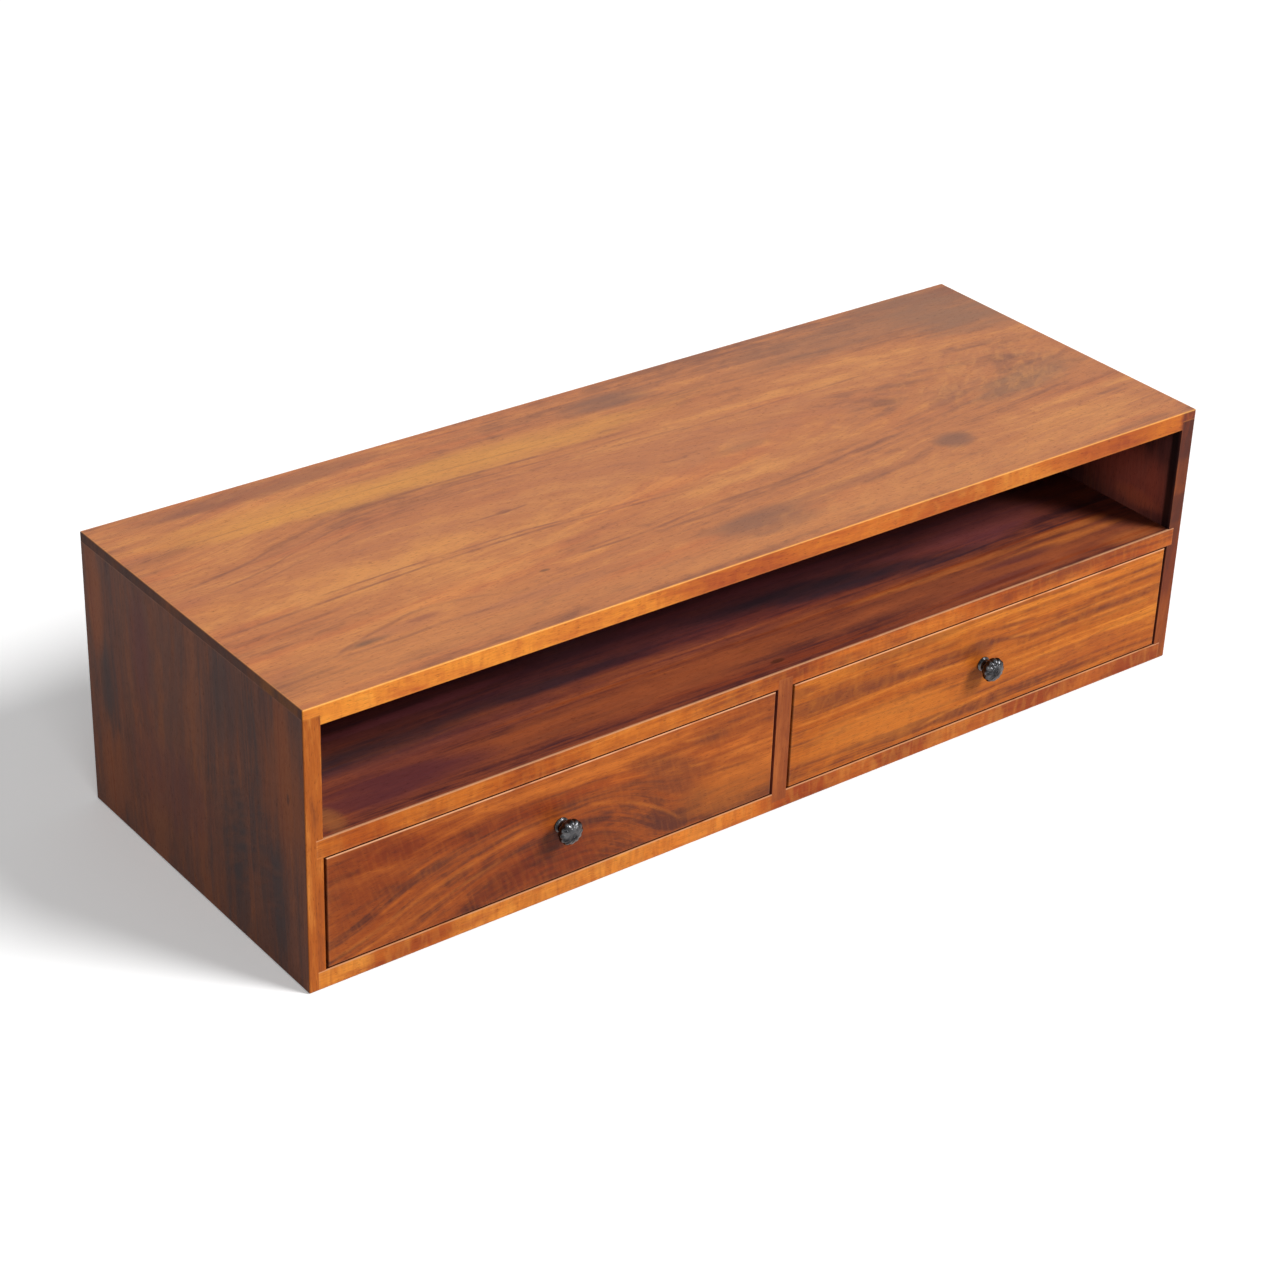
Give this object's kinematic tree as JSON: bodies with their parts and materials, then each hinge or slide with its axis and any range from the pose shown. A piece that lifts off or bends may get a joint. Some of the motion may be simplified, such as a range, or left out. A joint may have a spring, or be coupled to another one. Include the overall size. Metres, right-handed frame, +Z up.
{
  "type": "floating media console",
  "caption": "Wall-hung wooden media console: an open shelf over side-by-side drawers with dovetailed boxes, wooden side runners and dark metal knobs.",
  "frame": {"origin": "centre of the case's underside", "axes": "+X along the width to the right as seen from the front, +Y from the front to the back, +Z up"},
  "size_m": [1.1, 0.4229, 0.3],
  "materials": {
    "case_wood": "oiled hardwood in solid boards, satin, with strong colour changes from orange to dark red-brown",
    "drawer_front_wood": "oiled hardwood, satin, grain along the drawer's width",
    "drawer_box_wood": "plain pale hardwood, thinly sealed, matt",
    "back_panel_wood": "dark red-brown wood, satin",
    "rail_wood": "plain hardwood, thinly sealed, matt",
    "runner_wood": "dense hardwood, waxed by use",
    "screw_steel": "zinc-plated steel",
    "dark_pewter": "dark pewter colour, polished on its high spots"
  },
  "bodies": {
    "root": {"top_panel": "case_wood", "bottom_panel": "case_wood", "left_side_panel": "case_wood", "right_side_panel": "case_wood", "shelf_panel": "case_wood", "center_divider": "case_wood", "back_panel": "back_panel_wood", "upper_hanging_rail": "rail_wood", "lower_hanging_rail": "rail_wood", "left_drawer_left_runner": "runner_wood", "left_drawer_left_runner_screws": "screw_steel", "left_drawer_right_runner": "runner_wood", "left_drawer_right_runner_screws": "screw_steel", "right_drawer_left_runner": "runner_wood", "right_drawer_left_runner_screws": "screw_steel", "right_drawer_right_runner": "runner_wood", "right_drawer_right_runner_screws": "screw_steel"},
    "left_drawer": {"left_drawer_front": "drawer_front_wood", "left_drawer_left_side": "drawer_box_wood", "left_drawer_right_side": "drawer_box_wood", "left_drawer_back": "drawer_box_wood", "left_drawer_bottom": "drawer_box_wood", "left_drawer_knob": "dark_pewter", "left_drawer_knob_screw": "screw_steel"},
    "right_drawer": {"right_drawer_front": "drawer_front_wood", "right_drawer_left_side": "drawer_box_wood", "right_drawer_right_side": "drawer_box_wood", "right_drawer_back": "drawer_box_wood", "right_drawer_bottom": "drawer_box_wood", "right_drawer_knob": "dark_pewter", "right_drawer_knob_screw": "screw_steel"}
  },
  "joints": [
    {"name": "left_drawer_slide", "type": "slide", "parent": "root", "child": "left_drawer", "axis": [0, -1, 0], "range_m": [0, 0.24]},
    {"name": "right_drawer_slide", "type": "slide", "parent": "root", "child": "right_drawer", "axis": [0, -1, 0], "range_m": [0, 0.24]}
  ]
}
